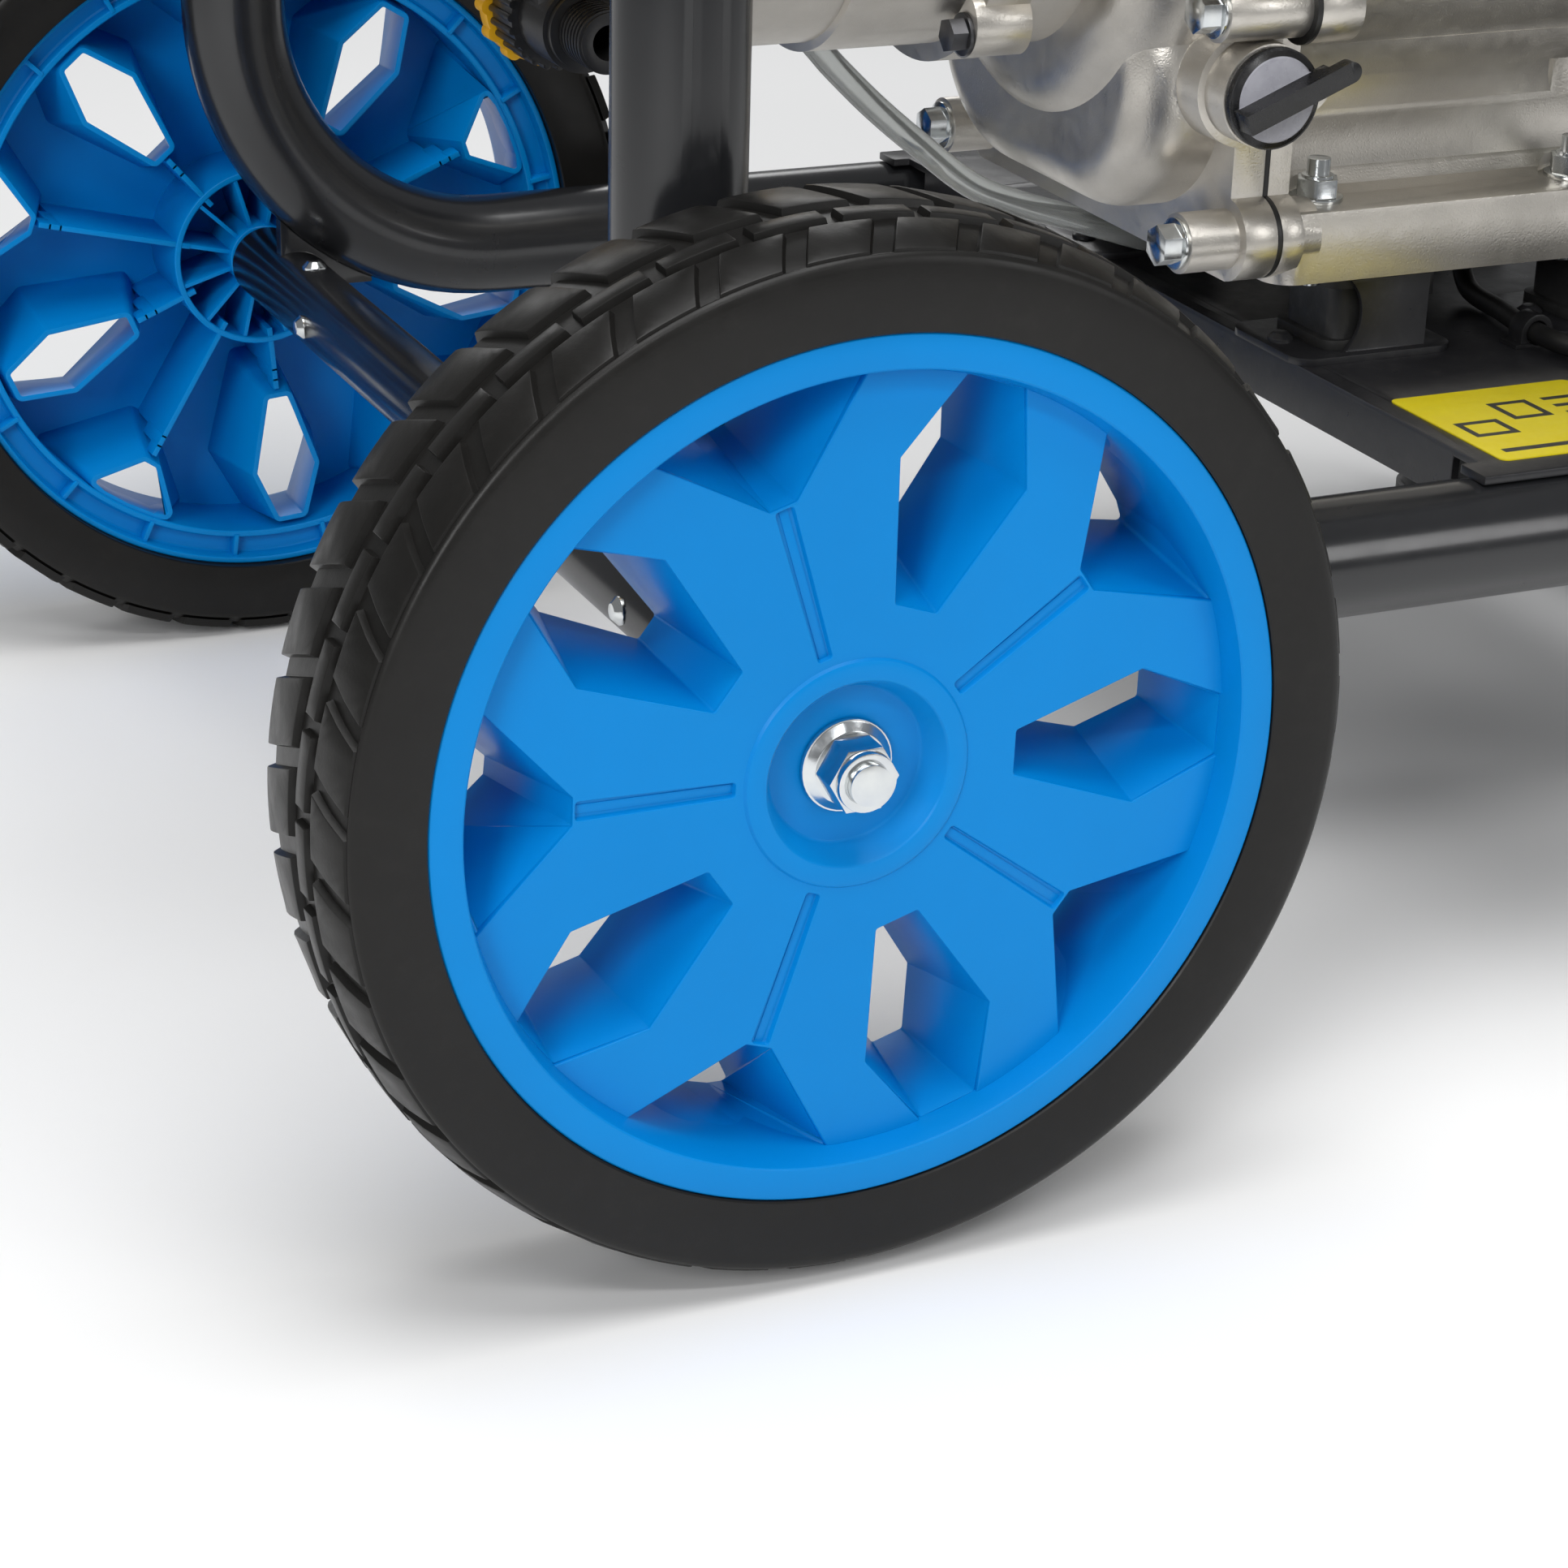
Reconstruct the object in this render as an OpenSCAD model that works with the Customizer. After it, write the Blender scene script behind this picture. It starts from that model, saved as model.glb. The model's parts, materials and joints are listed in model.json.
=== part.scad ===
// Wheeled petrol pressure washer: tube frame, two spoked wheels, engine and axial pump.
// +X forward (recoil end), +Y across, +Z up, ground at Z = 0, origin under the middle of the machine.

/* [Main] */
// Node to show
// Curve resolution
res = 64; // [32:8:128]

/* [Wheels] */
// Tyre crown radius
wheel_r = 152.5; // [120:0.5:180]
// Rim lip radius
rim_r = 125; // [95:1:150]
// Distance between wheel mid-planes
track = 550; // [450:1:640]
// Rim width over the lips
rim_w = 50; // [35:1:70]
// Tyre width
tyre_w = 56; // [40:1:75]
// Hub ring radius
hub_r = 33.3; // [25:0.1:45]
// Wheel bolt radius
bolt_r = 6; // [4:0.5:8]

/* [Frame] */
// Frame tube radius
tube_r = 19; // [14:0.5:22]
// Frame tube wall
tube_t = 2; // [1.2:0.1:4]
// Half distance between the rail centres
rail_y = 211; // [150:1:240]
// Rail height above the axle
rail_z = 10; // [-20:1:40]
// Upright position behind the axle
up_x = -21; // [-60:1:20]
// Rear bend radius
bend_r = 100; // [60:1:140]
// Front leg position
leg_x = 540; // [480:1:620]
// Front bend radius
fbend_r = 70; // [50:1:110]
// Height above the axle where the handle enters the uprights
up_top = 380; // [300:5:480]
// Handle lean angle
lean = 32; // [0:1:60]
// Axle tube radius
axle_r = 14; // [10:0.5:18]

/* [Plate] */
// Plate rear edge
plate_x = 256; // [200:1:300]
// Plate front edge
plate_x2 = 500; // [440:1:540]
// Plate thickness
plate_t = 3; // [2:0.5:5]

/* [Engine] */
// Crank centre across
eng_y = -5; // [-20:1:60]
// Crank height above the axle
eng_z = 190; // [150:1:220]
// Cylinder slant
slant = 25; // [10:1:40]
// Engine foot seat height above the axle
foot_z = 62; // [50:1:80]

/* [Hidden] */
$fn = res;
AZ = wheel_r;
lip_y = track/2 + rim_w/2;
pt = rail_z + tube_r + plate_t;
hx = up_x - 100 + 100*cos(lean);
hz = 420 + 100*sin(lean);
hleg = 150;
ox = (leg_x+tube_r+5 + hx-(hleg+70)*sin(lean)-(tube_r+4))/2;

module up() translate([-ox,0,AZ]) children();
module cx(r,l) rotate([0,90,0]) cylinder(r=r,h=l);
module cy(r,l) rotate([-90,0,0]) cylinder(r=r,h=l);
module hex(af,h) cylinder(d=af/cos(30),h=h,$fn=6);
module bx(x1,x2,y1,y2,z1,z2) translate([x1,y1,z1]) cube([x2-x1,y2-y1,z2-z1]);
module two() { children(); mirror([0,1,0]) children(); }
// rounded box standing on z1 with vertical corner radius r
module rbx(x1,x2,y1,y2,z1,z2,r) translate([0,0,z1]) linear_extrude(z2-z1) union() {
  translate([x1+r,y1]) square([x2-x1-2*r,y2-y1]);
  translate([x1,y1+r]) square([x2-x1,y2-y1-2*r]);
  for (x=[x1+r,x2-r], y=[y1+r,y2-r]) translate([x,y]) circle(r,$fn=32);
}
// rounded box with its round corners running along x
module rbx_x(x1,x2,y1,y2,z1,z2,r) translate([x1,0,0]) rotate([90,0,90]) linear_extrude(x2-x1) union() {
  translate([y1+r,z1]) square([y2-y1-2*r,z2-z1]);
  translate([y1,z1+r]) square([y2-y1,z2-z1-2*r]);
  for (y=[y1+r,y2-r], z=[z1+r,z2-r]) translate([y,z]) circle(r,$fn=32);
}

// ---------- frame ----------
module tube_path(r) {
  translate([up_x,0,rail_z+bend_r]) cylinder(r=r,h=up_top-rail_z-bend_r);
  translate([up_x+bend_r,0,rail_z+bend_r]) rotate([90,0,0]) rotate([0,0,180]) rotate_extrude(angle=90) translate([bend_r,0]) circle(r);
  translate([up_x+bend_r,0,rail_z]) cx(r,leg_x-fbend_r-up_x-bend_r);
  translate([leg_x-fbend_r,0,rail_z-fbend_r]) rotate([90,0,0]) rotate_extrude(angle=90) translate([fbend_r,0]) circle(r);
  translate([leg_x,0,-AZ+20]) cylinder(r=r,h=AZ-20+rail_z-fbend_r);
}
module side_tube() color([0.27,0.27,0.28]) up() translate([0,rail_y,0]) difference() {
  tube_path(tube_r);
  tube_path(tube_r-tube_t);
  translate([up_x,0,up_top-1]) cylinder(r=tube_r-tube_t,h=5);
  translate([leg_x,0,-AZ]) cylinder(r=tube_r-tube_t,h=30);
  translate([up_x,-30,up_top-18]) cy(4.1,60);
}
module side_tube_near() mirror([0,1,0]) side_tube();
module side_tube_far() side_tube();
module cross_tubes() color([0.27,0.27,0.28]) up() {
  translate([leg_x,-rail_y+tube_r,-75]) difference() { cy(14,2*(rail_y-tube_r)); translate([0,-1,0]) cy(12,2*(rail_y-tube_r)+2); }
  translate([up_x,-rail_y+tube_r,300]) difference() { cy(12,2*(rail_y-tube_r)); translate([0,-1,0]) cy(10.2,2*(rail_y-tube_r)+2); }
}
module axle_tube() color([0.27,0.27,0.28]) up() {
  difference() {
    translate([0,-247,0]) cy(axle_r,494);
    translate([0,-248,0]) cy(bolt_r,496);
  }
  two() difference() {
    translate([0,rail_y-3,0]) bx(-6,30,0,6,0,34);
    translate([up_x+bend_r,0,rail_z+bend_r]) translate([0,rail_y,0]) rotate([90,0,0]) rotate_extrude() translate([bend_r,0]) circle(tube_r);
    translate([0,-247,0]) cy(axle_r,494);
  }
}
module axle_bolts() color([0.78,0.78,0.8]) up() two() translate([0,-lip_y-1,0]) {
  cy(bolt_r,110);
}
module axle_nuts() color([0.82,0.82,0.84]) up() two() {
  translate([0,-lip_y+15.7,0]) rotate([90,0,0]) difference() {
    union() {
      cylinder(r=13.5,h=1.6);
      translate([0,0,1.6]) cylinder(r1=13,r2=10.6,h=2);
      hex(18,12.5);
      translate([0,0,12.5]) cylinder(r=8.6,h=2.2);
    }
    translate([0,0,-1]) cylinder(r=bolt_r,h=20);
  }
  translate([0,-247-3.4,0]) difference() { cy(12.5,3.4); translate([0,-1,0]) cy(bolt_r,6); }
}
module dome(r,h) { cylinder(r=r,h=h*0.4); translate([0,0,h*0.4]) cylinder(r1=r,r2=r*0.55,h=h*0.6); }
module rivets() color([0.6,0.6,0.62]) up() {
  difference() {
    union() {
      for (y=[-155,158]) translate([-axle_r+0.9,y,0]) rotate([0,-90,0]) dome(4.5,3.5);
      for (y=[-186,186]) translate([0,y,axle_r-0.9]) dome(4.5,3.5);
    }
    translate([0,-240,0]) cy(axle_r,480);
  }
}
module rubber_feet() color([0.06,0.06,0.06]) two() translate([leg_x-ox,-rail_y,0]) difference() {
  union() { cylinder(r=tube_r+5,h=12); cylinder(r=tube_r+3,h=45); }
  translate([0,0,20]) cylinder(r=tube_r,h=30);
}
module hand_path(r) {
  translate([up_x,rail_y,up_top-60]) cylinder(r=r,h=100);
  translate([up_x-100,rail_y,420]) rotate([90,0,0]) rotate_extrude(angle=lean) translate([100,0]) circle(r);
  translate([hx,0,hz]) rotate([0,-lean,0]) {
    translate([0,rail_y,0]) cylinder(r=r,h=hleg);
    translate([0,rail_y-70,hleg]) rotate([0,0,90]) rotate([90,0,0]) rotate_extrude(angle=90) translate([70,0]) circle(r);
  }
}
module bar(r) translate([hx,0,hz]) rotate([0,-lean,0]) translate([0,-rail_y+70,hleg+70]) cy(r,2*rail_y-140);
module handle_tube() color([0.27,0.27,0.28]) up() difference() {
  union() { two() hand_path(tube_r-tube_t-0.1); bar(tube_r-tube_t-0.1); }
  two() hand_path(tube_r-tube_t-2);
  bar(tube_r-tube_t-2);
  two() translate([up_x,rail_y-30,up_top-18]) cy(4.1,60);
}
module handle_grip() color([0.05,0.05,0.05]) up() translate([hx,0,hz]) rotate([0,-lean,0]) translate([0,0,hleg+70]) difference() {
  union() {
    translate([0,-120,0]) cy(tube_r+2.5,240);
    for (y=[-120,114]) translate([0,y,0]) cy(tube_r+4,6);
    for (y=[-100:20:100]) translate([0,y-2,0]) cy(tube_r+3.6,4);
  }
  translate([0,-121,0]) cy(tube_r-tube_t-0.1,242);
}
module handle_bolts() color([0.2,0.2,0.21]) up() two() for (z=[up_top-18]) translate([up_x,rail_y+tube_r,z]) {
  translate([0,0,0]) rotate([-90,0,0]) { cylinder(r=11,h=5); translate([0,0,4.5]) linear_extrude(11.5) { circle(16); for (a=[0:60:300]) rotate(a) translate([14.2,0]) circle(5,$fn=32); } }
  translate([0,-2*tube_r-7,0]) { cy(4,2*tube_r+7); rotate([-90,0,0]) hex(13,7); }
}
// ---------- plate ----------
module base_plate() color([0.13,0.13,0.14]) up() difference() {
  union() {
    bx(plate_x,plate_x2,-rail_y-6,rail_y+6,pt-plate_t,pt);
    bx(plate_x-7,plate_x+1,-rail_y-6,-rail_y+8,pt-plate_t,pt);
    bx(plate_x-7,plate_x+1,rail_y-8,rail_y+6,pt-plate_t,pt);
    bx(plate_x,plate_x+plate_t,-rail_y+22,rail_y-22,pt-18,pt);
    bx(plate_x2-plate_t,plate_x2,-rail_y+22,rail_y-22,pt-18,pt);
    for (x=[330,430]) bx(x,x+26,-rail_y+24,rail_y-24,pt-7,pt-plate_t+0.5);
  }
  for (x=[plate_x+12,plate_x2-12], y=[-150,150]) translate([x,y,pt-20]) cylinder(r=4,h=30);
  translate([360,150,pt-20]) cylinder(r=14,h=30);
}
module warning_label() color([0.88,0.8,0.02]) up() {
  rbx(263,333,-206,-140,pt,pt+0.4,3);
}
module at_mounts() for (x=[287,389], y=[-75,65]) translate([x,y,0]) children();
module mount_brackets() color([0.09,0.09,0.1]) up() difference() {
  at_mounts() bracket();
  for (x=[264,366], y=[-85,75]) translate([x,y,foot_z-10]) cylinder(r=4.1,h=20);
}
module bracket() {
  difference() { rbx(-33,30,-24,24,pt,pt+2.5,8); for (x=[-26,24.5]) translate([x,0,pt-1]) cylinder(r=3,h=6,$fn=24); }
  rbx(-27,22,-18,18,foot_z-2.5,foot_z,6);
  bx(22,24.5,-14,14,foot_z-12,foot_z);
  for (x=[-26,24.5]) translate([x,0,pt+2.5]) dome(4.6,3);
  difference() { bx(-14,19,-20,-18,pt+2.5,foot_z-2.5); translate([-24,-21,(pt+foot_z)/2]) cy(17,4); }
}
module engine_mounts() color([0.05,0.05,0.05]) up() at_mounts() {
  translate([0,0,pt+2.5]) {
    rbx(-19,19,-18,18,0,3.5,6);
    rbx(-16,16,-16,16,0,foot_z-5-pt,5);
    translate([0,0,foot_z-8.5-pt]) rbx(-19,19,-18,18,0,3.5,6);
  }
}
module nut8() { cylinder(r=9,h=1.5); hex(13,7.5); translate([0,0,7.5]) cylinder(r=5.4,h=1); }
module mount_nuts() color([0.8,0.81,0.84]) up() for (x=[264,366], y=[-85,75]) translate([x,y,foot_z+24]) {
  nut8(); translate([0,0,-24-5]) cylinder(r=3.95,h=43);
}
// ---------- wheels ----------
pk = [[48.2,0-6.5],[86.7,-20],[112.5,-8.8],[112.5,8.8],[86.7,20],[48.2,6.5]];
pko = [[45.2,-8.2],[86.2,-23],[112.5,-12.4],[112.5,12.4],[86.2,23],[45.2,8.2]];
gp = [[82.4,-4],[82.4,4],[108.3,32],[114,20],[114,-20],[108.3,-32]];
gpo = [[79.6,-5.2],[79.6,5.2],[107,34.8],[114,20],[114,-20],[107,-34.8]];
module rim() color([0,0.42,0.8]) difference() {
  union() {
    rotate_extrude($fn=120) polygon([[110.5,50],[110.5,10],[114.5,1.5],[114.5,0],[125,0],[125,3.2],[114.8,3.2],[114.8,46.8],[125,46.8],[125,50]]);
    translate([0,0,8]) linear_extrude(3.5) difference() { circle(112.6,$fn=120); circle(30); for (i=[0:4]) rotate(-1+72*i) { polygon(pk); rotate(36) polygon(gp); } }
    translate([0,0,10]) linear_extrude(36) {
      for (i=[0:4]) rotate(-1+72*i) {
        difference() { polygon(pko); polygon(pk); translate([111.7,-20]) square([4,40]); }
        rotate(36) difference() { polygon(gpo); polygon(gp); translate([108.6,-40]) square([8,80]); }
      }
      for (i=[0:4]) rotate(-1+72*i) { translate([hub_r-1,-1.5]) square([46.6-hub_r,3]); rotate(36) translate([hub_r-1,-1.5]) square([82-hub_r,3]); }
    }
    rotate_extrude() polygon([[bolt_r+0.05,16],[24,16],[27.5,7],[hub_r-1,7],[hub_r,8.5],[hub_r,45],[hub_r-2.5,45],[hub_r-2.5,19],[13,19],[13,47],[bolt_r+0.05,47]]);
    for (i=[0:9]) rotate(17+36*i) translate([12.3,-1.2,17.5]) cube([hub_r-14,2.4,26]);
  }
  for (i=[0:4]) rotate(35+72*i) translate([hub_r+1.4,-1.8,6]) cube([46.5,3.6,3.2]);
}
module tyre() color([0.09,0.09,0.09]) {
  difference() {
    rotate_extrude($fn=120) polygon([[114.8,3.3],[125.1,3.3],[125.1,-0.6],[131,-1.6],[140,-2],[145.6,-0.4],[148.5,6],[150.5,16],[151,27],[150.5,38],[148.5,50],[145,55],[138,55.5],[125.1,54],[125.1,46.7],[114.8,46.7]]);
    for (z=[19,33]) translate([0,0,z]) rotate_extrude($fn=120) translate([148,0]) square([6,2]);
  }
  for (i=[0:35]) rotate(10*i) { translate([145.5,-8,6.6]) cube([6.1,12,8.2]); translate([145.5,-5,39.2]) cube([6.1,13,8.6]); }
  for (i=[0:17]) rotate(20*i+4) translate([146,-6,24.3]) cube([6.35,13,5.2]);
}
module wheel_at() up() translate([0,-lip_y,0]) rotate([-90,0,0]) children();
module rim_near() wheel_at() rotate([0,0,0]) mirror([0,1,0]) rim();
module tyre_near() wheel_at() tyre();
module rim_far() mirror([0,1,0]) wheel_at() mirror([0,1,0]) rotate(-12) rim();
module tyre_far() mirror([0,1,0]) wheel_at() tyre();
// ---------- engine ----------
module ec() translate([0,eng_y,eng_z]) children();
module cover2d() union() { circle(98); translate([-88,-127]) square([176,80]); translate([-86,-113]) circle(14); translate([86,-113]) circle(14); }
module yz(x,h) translate([x,eng_y,eng_z]) rotate([90,0,90]) linear_extrude(h) children();
cb = [[-86,-113],[86,-113],[-100,-34],[100,-34],[-84,60],[84,60],[0,102]];
module crankcase() color([0.62,0.6,0.56]) up() difference() {
  union() {
    ec() translate([240,0,0]) cx(96,146);
    yz(240,8) cover2d();
    yz(240,16) for (b=cb) translate(b) circle(12,$fn=32);
    rbx(240,390,-102,92,foot_z,foot_z+24,10);
    translate([246,0,0]) rotate([90,0,90]) linear_extrude(140) polygon([[-86,138],[-78,122],[-73.5,110],[-72,100],[-73,93],[-77,88],[-84,85.6],[74,85.6],[67,88],[63,93],[62,100],[63.5,110],[68,122],[76,138]]);
    translate([386,eng_y,eng_z]) cx(40,8);
    yz(376,10) circle(100);
    bx(250,262,-25,15,eng_z+90,eng_z+133);
    bx(372,384,-25,15,eng_z+90,eng_z+133);
  }
  ec() translate([256,0,0]) cx(80,118);
  for (y=[-85,75], x=[264,366]) { translate([x,y,foot_z-1]) cylinder(r=4.1,h=30); translate([x,y,foot_z+24]) cylinder(r=11,h=40); }
  ec() translate([370,0,0]) cx(12.55,40);
  cyl_at() translate([0,0,40]) cylinder(r=36,h=80);
}
// disc facing -x with a round front edge
module puck(r,h,e) rotate([0,90,0]) rotate_extrude() { square([r-e,h]); translate([0,e]) square([r,h-e]); translate([r-e,e]) intersection() { circle(e,$fn=64); translate([0,-e]) square([e,e]); } }
module side_cover() color([0.62,0.6,0.56]) up() difference() {
  union() {
    yz(226,12) cover2d();
    ec() translate([188,0,0]) puck(93,40,26);
    for (y=[-29,29]) ec() translate([196,y,-62]) puck(51.5,32,18);
    ec() translate([0,29,0]) rotate([90,0,0]) linear_extrude(58) { translate([214,-113.5]) square([14,80]); translate([196,-95.5]) square([32,60]); translate([214,-95.5]) circle(18,$fn=64); }
    yz(166,25) circle(62);
    for (b=cb) translate([208,eng_y+b[0],eng_z+b[1]]) cx(10,30);
    translate([227,-109.8,128.5]) cy(17,54);
    translate([227,-98,128.5]) cy(19.5,42);
    translate([227,70,118]) cy(14,28);
  }
  ec() translate([150,0,0]) cx(14,100);
  yz(214,30) circle(74);
  translate([227,-110,128.5]) cy(10.5,30);
  translate([227,69,118]) cy(10.5,32);
  translate([238,-200,0]) cube([40,400,400]);
}
module cover_gasket() color([0.04,0.04,0.04]) up() difference() {
  yz(238,2) { cover2d(); for (b=cb) translate(b) circle(12.5,$fn=32); }
  yz(237,4) circle(78);
}
module cover_bolts() color([0.8,0.81,0.84]) up() for (b=cb) translate([208,eng_y+b[0],eng_z+b[1]]) rotate([0,-90,0]) { cylinder(r=8.6,h=1.5); hex(12,8); }
module screw_cap() {
  translate([0,0,0.3]) cylinder(r=16.5,h=3.2);
  translate([0,0,3.5]) cylinder(r1=16,r2=13.5,h=1.6);
  translate([0,0,-28]) cylinder(r=10.4,h=29);
  rotate([0,0,22]) { bx(-15.5,19,-3.4,3.4,4.5,13); bx(18,24,-3.4,3.4,8,13); translate([24,0,8]) cylinder(r=3.4,h=5,$fn=32); }
}
module oil_cap() color([0.5,0.5,0.5]) up() translate([227,-110,128.5]) rotate([90,0,0]) screw_cap();
module oil_plug() color([0.03,0.03,0.03]) up() translate([227,98.3,118]) rotate([-90,0,0]) screw_cap();
module drain_bolt() color([0.75,0.76,0.78]) up() translate([315,92,foot_z+12]) rotate([-90,0,0]) { cylinder(r=10,h=2); hex(12,9); }
module cyl_at() translate([300,eng_y,eng_z]) rotate([90-slant,0,0]) children();
module sq(w,h,r) { translate([-w/2+r,-h/2]) square([w-2*r,h]); translate([-w/2,-h/2+r]) square([w,h-2*r]); for (x=[-w/2+r,w/2-r],y=[-h/2+r,h/2-r]) translate([x,y]) circle(r,$fn=32); }
module cylinder_barrel() { translate([0,0,92]) linear_extrude(70) sq(96,96,16); for (i=[0:6]) translate([0,0,98+i*9]) linear_extrude(3) sq(119,122,14); translate([0,0,85]) linear_extrude(9) sq(112,108,12); }
module cylinder_block() color([0.6,0.59,0.56]) up() difference() {
  cyl_at() difference() { cylinder_barrel(); translate([0,0,70]) cylinder(r=36,h=100); }
  ec() translate([230,0,0]) cx(96,164);
  ec() translate([230,0,0]) cx(117.5,26.3);
}
module cylinder_head() color([0.62,0.61,0.58]) up() difference() {
  cyl_at() difference() {
    union() {
      translate([0,0,162]) linear_extrude(36) sq(98,100,14);
      for (i=[0:3]) translate([0,0,164+i*9]) linear_extrude(3) sq(122,124,14);
      translate([-61,10,179.5]) rotate([0,90,0]) cylinder(r=16.5,h=122);
    }
    translate([0,0,160]) cylinder(r=34,h=14);
    translate([-62,10,179.5]) rotate([0,90,0]) cylinder(r=11,h=30);
    translate([34,10,179.5]) rotate([0,90,0]) cylinder(r=11,h=30);
    translate([20,-48,170]) rotate([60,0,0]) { cylinder(r=7.1,h=40); translate([0,0,11.9]) cylinder(r=10,h=40); }
  }
  bx(344,470,-190,-60,325,410);
}
module rocker_cover() color([0.07,0.07,0.07]) up() cyl_at() union() {
  translate([0,0,198]) linear_extrude(4) sq(112,92,12);
  translate([0,0,202]) linear_extrude(20) sq(98,78,14);
  translate([0,0,222]) linear_extrude(6) sq(86,66,12);
  for (x=[-50,50], y=[-40,40]) translate([x,y,202]) { cylinder(r=6,h=1.4); hex(8,6); }
}
module spark_plug() color([0.85,0.85,0.83]) up() cyl_at() translate([20,-48,170]) rotate([60,0,0]) {
  translate([0,0,0.1]) cylinder(r=7,h=12);
  translate([0,0,12]) hex(16,8);
  translate([0,0,20]) cylinder(r=5,h=10);
}
// swept tube through a list of points
function nrm(v) = v/norm(v);
function tang(p,i) = nrm(p[min(i+1,len(p)-1)]-p[max(i-1,0)]);
module sweep(p,r,n=10) {
  m = len(p);
  pts = [for (i=[0:m-1]) let(t=tang(p,i), u=nrm(cross(t,[0.31,0.94,0.13])), v=cross(t,u)) for (k=[0:n-1]) p[i]+r*(cos(360*k/n)*u+sin(360*k/n)*v)];
  fcs = concat([[for (k=[0:n-1]) k]], [for (i=[0:m-2], k=[0:n-1]) [i*n+k, (i+1)*n+k, (i+1)*n+(k+1)%n, i*n+(k+1)%n]], [[for (k=[0:n-1]) (m-1)*n+n-1-k]]);
  polyhedron(points=pts, faces=fcs, convexity=6);
}
// smooth curve through control points
function cr(a,b,c,d,t) = 0.5*((2*b)+(c-a)*t+(2*a-5*b+4*c-d)*t*t+(3*b-a-3*c+d)*t*t*t);
function curve(c,s) = concat([for (i=[0:len(c)-2], j=[0:s-1]) cr(c[max(i-1,0)],c[i],c[i+1],c[min(i+2,len(c)-1)],j/s)],[c[len(c)-1]]);
lead = [[320,-217,192],[322,-224,187.5],[334,-226,186],[352,-218,192],[372,-196,203],[392,-166,209],[404,-146.8,210]];
module spark_lead() color([0.04,0.04,0.04]) up() {
  sweep(curve(lead,4),3.4);
  cyl_at() translate([20,-48,170]) rotate([60,0,0]) translate([0,0,30.2]) cylinder(r=9.5,h=18);
}
module hous2d(g) union() { circle(118-g); rotate(-slant) translate([-135+g,-65+g]) square([135-g,130-2*g]); }
module blower_housing() color([0.36,0.37,0.33]) up() difference() {
  yz(394.3,79.7) rotate(0) hous2d(0);
  yz(398,73) hous2d(3);
  ec() translate([390,0,0]) cx(41,12);
  ec() translate([465,0,0]) cx(84,12);
  translate([465,-80,280]) cx(4,12);
  ec() rotate([slant,0,0]) bx(389,466,-140,-126,-56,56);
}
module flywheel() color([0.45,0.45,0.46]) up() ec() difference() {
  union() {
    translate([371,0,0]) cx(12.5,80);
    translate([404,0,0]) cx(98,14);
    translate([418,0,0]) cx(40,14);
    for (a=[0:24:336]) rotate([a,0,0]) bx(412,446,-2,2,36,96);
    translate([432,0,0]) cx(30,32);
  }
  translate([440,0,0]) cx(24,30);
}
module recoil_cover() color([0.05,0.05,0.05]) up() difference() {
  ec() union() {
    translate([474,0,0]) cx(98,4);
    translate([474,0,0]) cx(88,22);
    translate([496,0,0]) rotate([0,90,0]) cylinder(r1=88,r2=80,h=7);
    for (a=[20:120:260]) rotate([a,0,0]) { bx(474,479,-9,9,90,112); translate([479,0,103]) cx(5,4); }
    rotate([-37.8,0,0]) bx(480,496,-8,8,80,107.2);
  }
  ec() translate([473,0,0]) cx(82,24);
  ec() for (a=[0:15:345]) rotate([a,0,0]) bx(490,510,-2.6,2.6,44,76);
  ec() translate([490,0,0]) cx(10,30);
  ec() rotate([-37.8,0,0]) translate([488,0,78]) cylinder(r=3,h=32);
}
module recoil_grip() color([0.05,0.05,0.05]) up() translate([488,eng_y+66,eng_z+85]) rotate([-37.8,0,0]) {
  translate([0,0,0]) cylinder(r=9,h=6);
  translate([0,0,6]) cylinder(r=6,h=8);
  translate([-6.3,-24,14]) rotate([-90,0,0]) cylinder(r=7,h=48);
  translate([6.3,-24,14]) rotate([-90,0,0]) cylinder(r=7,h=48);
  translate([-6.3,-24,7]) cube([12.6,48,14]);
}
module engine_switch() color([0.75,0.05,0.04]) up() translate([490.2,-112,211]) rotate([0,90,0]) { cylinder(r=11,h=3); bx(-11,11,-2.6,2.6,3,9); translate([0,0,-11]) cylinder(r=4.95,h=11.5); }
module control_panel() color([0.06,0.06,0.06]) up() difference() {
  union() {
    bx(474,490,-124,-103.6,192,230);
    rbx_x(420,424,-182,-118,236,322,6);
    bx(410,421,-162,-132,256,294);
  }
  translate([478,-112,211]) cx(5,20);
  for (z=[262,298]) translate([411,-152,z]) cx(4,20);
  yz(393.8,80.1) hous2d(-0.5);
}
module lever(l) { translate([0,0,0.2]) cylinder(r=8,h=4); translate([0,-3,0.2]) cube([l,6,4]); translate([l,0,0.2]) cylinder(r=6,h=7); translate([0,0,-6]) cylinder(r=3.95,h=7); }
module choke_lever() color([0.08,0.08,0.08]) up() translate([424.1,-152,298]) rotate([0,90,0]) rotate([0,0,-100]) lever(26);
module fuel_lever() color([0.7,0.06,0.05]) up() translate([424.1,-152,262]) rotate([0,90,0]) rotate([0,0,-80]) lever(26);
module throttle_lever() color([0.08,0.08,0.08]) up() translate([474.2,-80,280]) rotate([0,90,0]) { translate([0,0,-8]) cylinder(r=3.95,h=9); rotate([0,0,-130]) { translate([0,0,0.2]) cylinder(r=10,h=3); translate([0,-4,0.2]) cube([44,8,3]); translate([44,0,0.2]) cylinder(r=8,h=12); } }
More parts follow.
